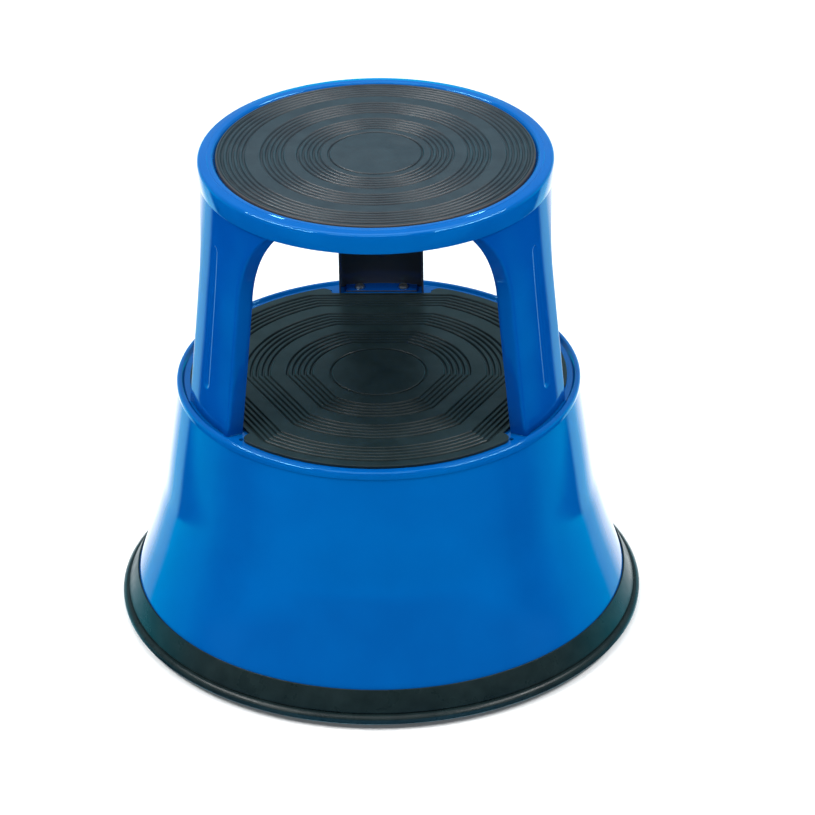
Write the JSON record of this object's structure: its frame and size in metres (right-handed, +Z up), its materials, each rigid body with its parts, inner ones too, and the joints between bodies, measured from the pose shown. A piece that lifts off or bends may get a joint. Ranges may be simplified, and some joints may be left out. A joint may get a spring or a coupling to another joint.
{
  "type": "kick step stool",
  "caption": "Round two-step rolling stool: conical steel base with a bumper ring, a raised round top step on channel legs, and sprung castors that retract under load.",
  "frame": {"origin": "on the floor at the stool's centre line, level with the undersides of the unloaded castor wheels", "axes": "+Z up along the centre line, +Y from the centre line towards the rear leg, +X to the right seen from the front"},
  "size_m": [0.4452, 0.4452, 0.42],
  "materials": {
    "blue_enamel": "gloss",
    "mat_rubber": "satin",
    "bumper_vinyl": "satin",
    "plated_steel": "satin",
    "spring_steel": "satin",
    "nylon": "matte",
    "tyre_rubber": "matte"
  },
  "bodies": {
    "stool": {"top_mat": "mat_rubber", "top_cap": "blue_enamel", "leg_rear": "blue_enamel", "leg_front_left": "blue_enamel", "leg_front_right": "blue_enamel", "step_plate": "blue_enamel", "lower_mat": "mat_rubber", "base_skirt": "blue_enamel", "bumper_ring": "bumper_vinyl", "foot_screw_rear_a": "plated_steel", "foot_nut_rear_a": "plated_steel", "head_rivet_rear_a": "plated_steel", "foot_screw_rear_b": "plated_steel", "foot_nut_rear_b": "plated_steel", "head_rivet_rear_b": "plated_steel", "foot_screw_front_left_a": "plated_steel", "foot_nut_front_left_a": "plated_steel", "head_rivet_front_left_a": "plated_steel", "foot_screw_front_left_b": "plated_steel", "foot_nut_front_left_b": "plated_steel", "head_rivet_front_left_b": "plated_steel", "foot_screw_front_right_a": "plated_steel", "foot_nut_front_right_a": "plated_steel", "head_rivet_front_right_a": "plated_steel", "foot_screw_front_right_b": "plated_steel", "foot_nut_front_right_b": "plated_steel", "head_rivet_front_right_b": "plated_steel", "castor_housing_rear": "plated_steel", "spring_rear": "spring_steel", "castor_housing_front_left": "plated_steel", "spring_front_left": "spring_steel", "castor_housing_front_right": "plated_steel", "spring_front_right": "spring_steel"},
    "plunger_rear": {"plunger_rear": "nylon", "thrust_washer_rear": "plated_steel"},
    "fork_rear": {"fork_rear": "plated_steel", "kingpin_rear": "plated_steel", "retaining_clip_rear": "spring_steel", "axle_rear": "plated_steel"},
    "wheel_rear": {"wheel_hub_rear": "nylon", "tyre_rear": "tyre_rubber"},
    "plunger_front_left": {"plunger_front_left": "nylon", "thrust_washer_front_left": "plated_steel"},
    "fork_front_left": {"fork_front_left": "plated_steel", "kingpin_front_left": "plated_steel", "retaining_clip_front_left": "spring_steel", "axle_front_left": "plated_steel"},
    "wheel_front_left": {"wheel_hub_front_left": "nylon", "tyre_front_left": "tyre_rubber"},
    "plunger_front_right": {"plunger_front_right": "nylon", "thrust_washer_front_right": "plated_steel"},
    "fork_front_right": {"fork_front_right": "plated_steel", "kingpin_front_right": "plated_steel", "retaining_clip_front_right": "spring_steel", "axle_front_right": "plated_steel"},
    "wheel_front_right": {"wheel_hub_front_right": "nylon", "tyre_front_right": "tyre_rubber"}
  },
  "joints": [
    {"name": "castor_plunge_rear", "type": "slide", "parent": "stool", "child": "plunger_rear", "axis": [0, 0, 1], "range_m": [0, 0.008], "stiffness_N_per_m": 6000, "springref_m": -0.008, "deforming": ["spring_rear"]},
    {"name": "castor_swivel_rear", "type": "hinge", "parent": "plunger_rear", "child": "fork_rear", "pos_m": [0, 0.128, 0.045], "axis": [0, 0, 1], "continuous": true},
    {"name": "wheel_spin_rear", "type": "hinge", "parent": "fork_rear", "child": "wheel_rear", "pos_m": [0, 0.118, 0.02], "axis": [-1, 0, 0], "continuous": true},
    {"name": "castor_plunge_front_left", "type": "slide", "parent": "stool", "child": "plunger_front_left", "axis": [0, 0, 1], "range_m": [0, 0.008], "stiffness_N_per_m": 6000, "springref_m": -0.008, "deforming": ["spring_front_left"]},
    {"name": "castor_swivel_front_left", "type": "hinge", "parent": "plunger_front_left", "child": "fork_front_left", "pos_m": [-0.11302, -0.06009, 0.045], "axis": [0, 0, 1], "continuous": true},
    {"name": "wheel_spin_front_left", "type": "hinge", "parent": "fork_front_left", "child": "wheel_front_left", "pos_m": [-0.10419, -0.0554, 0.02], "axis": [0.4695, -0.8829, 0], "continuous": true},
    {"name": "castor_plunge_front_right", "type": "slide", "parent": "stool", "child": "plunger_front_right", "axis": [0, 0, 1], "range_m": [0, 0.008], "stiffness_N_per_m": 6000, "springref_m": -0.008, "deforming": ["spring_front_right"]},
    {"name": "castor_swivel_front_right", "type": "hinge", "parent": "plunger_front_right", "child": "fork_front_right", "pos_m": [0.11302, -0.06009, 0.045], "axis": [0, 0, 1], "continuous": true},
    {"name": "wheel_spin_front_right", "type": "hinge", "parent": "fork_front_right", "child": "wheel_front_right", "pos_m": [0.10419, -0.0554, 0.02], "axis": [0.4695, 0.8829, 0], "continuous": true}
  ]
}
